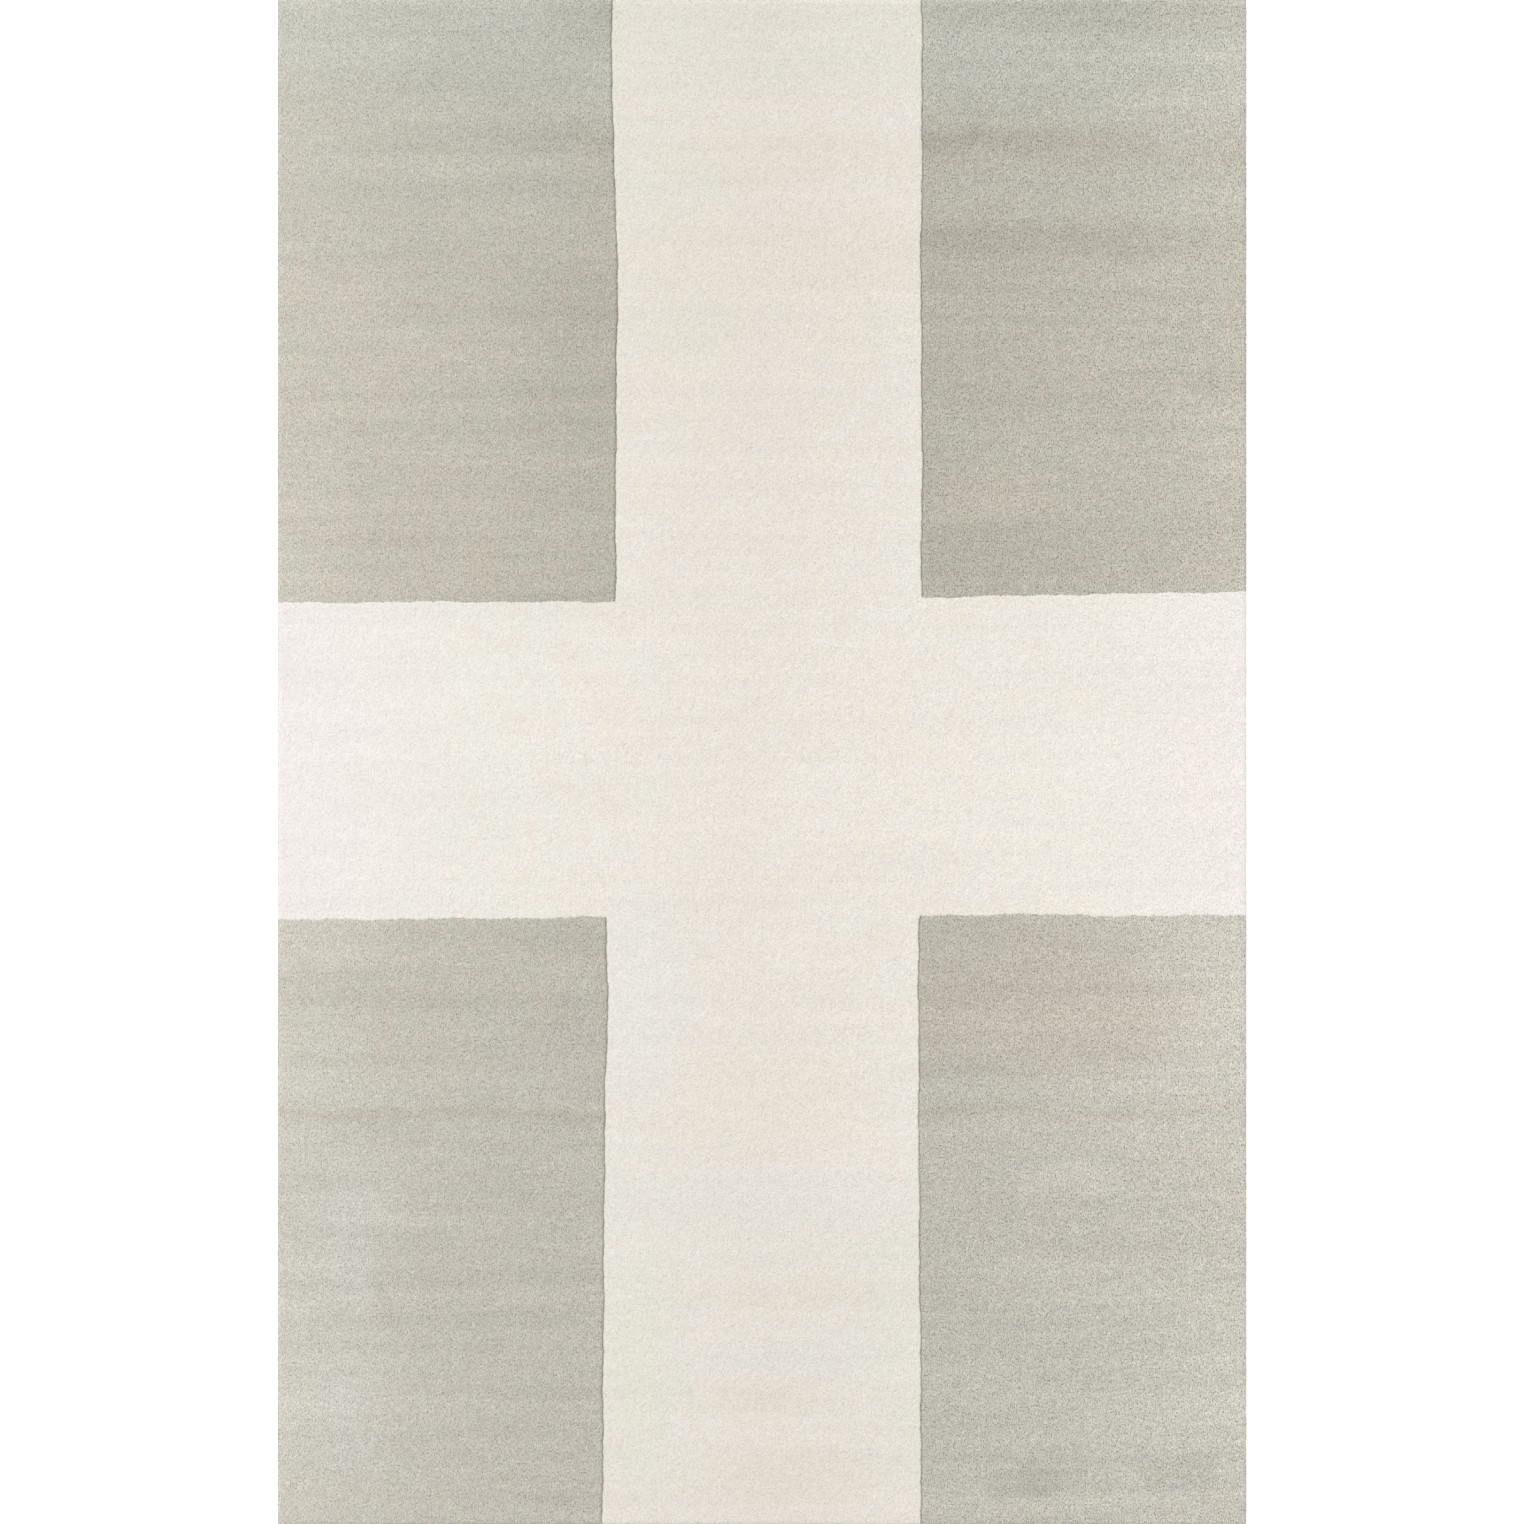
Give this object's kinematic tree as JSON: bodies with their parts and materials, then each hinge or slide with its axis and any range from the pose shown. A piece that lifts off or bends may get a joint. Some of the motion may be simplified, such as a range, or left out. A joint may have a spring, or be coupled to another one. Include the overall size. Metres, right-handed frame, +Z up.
{
  "type": "area rug",
  "caption": "Flat rectangular hand-tufted wool rug with a cream cross on sage corner fields, carved between the colours and bound underneath.",
  "frame": {"origin": "middle of the underside, on the floor", "axes": "+X across the rug, +Y along its length, +Z up out of the pile"},
  "size_m": [1.53, 2.41, 0.016],
  "materials": {
    "cream_pile": "cut wool pile, undyed cream, matte",
    "sage_pile": "cut wool pile, dyed sage grey, matte",
    "tufting_cloth": "plain-woven undyed cotton",
    "latex": "dried latex, cream, satin",
    "scrim": "open gauze weave",
    "canvas": "plain-woven unbleached cotton canvas",
    "binding_tape": "twill-woven cotton tape",
    "sewing_thread": "spun thread, off-white",
    "care_label": "blank woven satin label"
  },
  "bodies": {
    "root": {"cream_cross_pile": "cream_pile", "sage_pile_back_left": "sage_pile", "sage_pile_back_right": "sage_pile", "sage_pile_front_left": "sage_pile", "sage_pile_front_right": "sage_pile", "tufting_cloth": "tufting_cloth", "latex_coat": "latex", "scrim_gauze": "scrim", "canvas_backing": "canvas", "binding_tape_front": "binding_tape", "binding_tape_right": "binding_tape", "binding_tape_back": "binding_tape", "binding_tape_left": "binding_tape", "tape_stitch_outer_front": "sewing_thread", "tape_stitch_inner_front": "sewing_thread", "tape_stitch_outer_right": "sewing_thread", "tape_stitch_inner_right": "sewing_thread", "tape_stitch_outer_back": "sewing_thread", "tape_stitch_inner_back": "sewing_thread", "tape_stitch_outer_left": "sewing_thread", "tape_stitch_inner_left": "sewing_thread", "care_label": "care_label", "label_stitch": "sewing_thread"}
  },
  "joints": []
}
